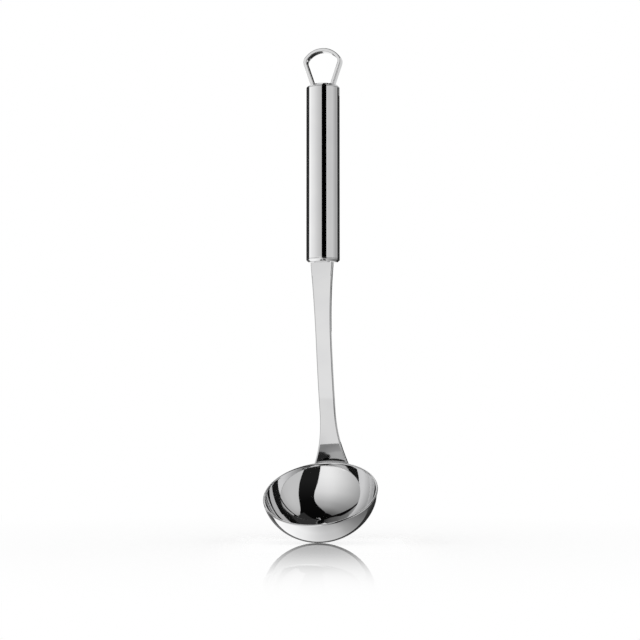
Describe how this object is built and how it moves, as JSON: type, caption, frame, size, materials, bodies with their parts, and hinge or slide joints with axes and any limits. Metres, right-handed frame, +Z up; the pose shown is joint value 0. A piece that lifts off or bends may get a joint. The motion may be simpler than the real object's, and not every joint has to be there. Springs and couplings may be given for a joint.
{
  "type": "sauce ladle",
  "caption": "Polished steel sauce ladle with a round tilted bowl, a curved flat shank, a hollow round handle and a fixed loop to hang it by.",
  "frame": {"origin": "the point inside the top of the hanging loop where a hook carries the ladle", "axes": "+Z up along the handle axis, the bowl opens towards -Y, +X to the right of someone facing the bowl"},
  "size_m": [0.0612, 0.0565, 0.2658],
  "materials": {
    "polished_bowl": "mirror polished stainless steel",
    "polished_shank": "polished stainless steel",
    "polished_tube": "mirror polished stainless steel",
    "polished_cap": "polished stainless steel",
    "polished_loop": "polished stainless steel"
  },
  "bodies": {
    "root": {"bowl": "polished_bowl", "shank": "polished_shank", "handle_tube": "polished_tube", "lower_end_cap": "polished_cap", "upper_end_cap": "polished_cap", "hanging_loop": "polished_loop"}
  },
  "joints": []
}
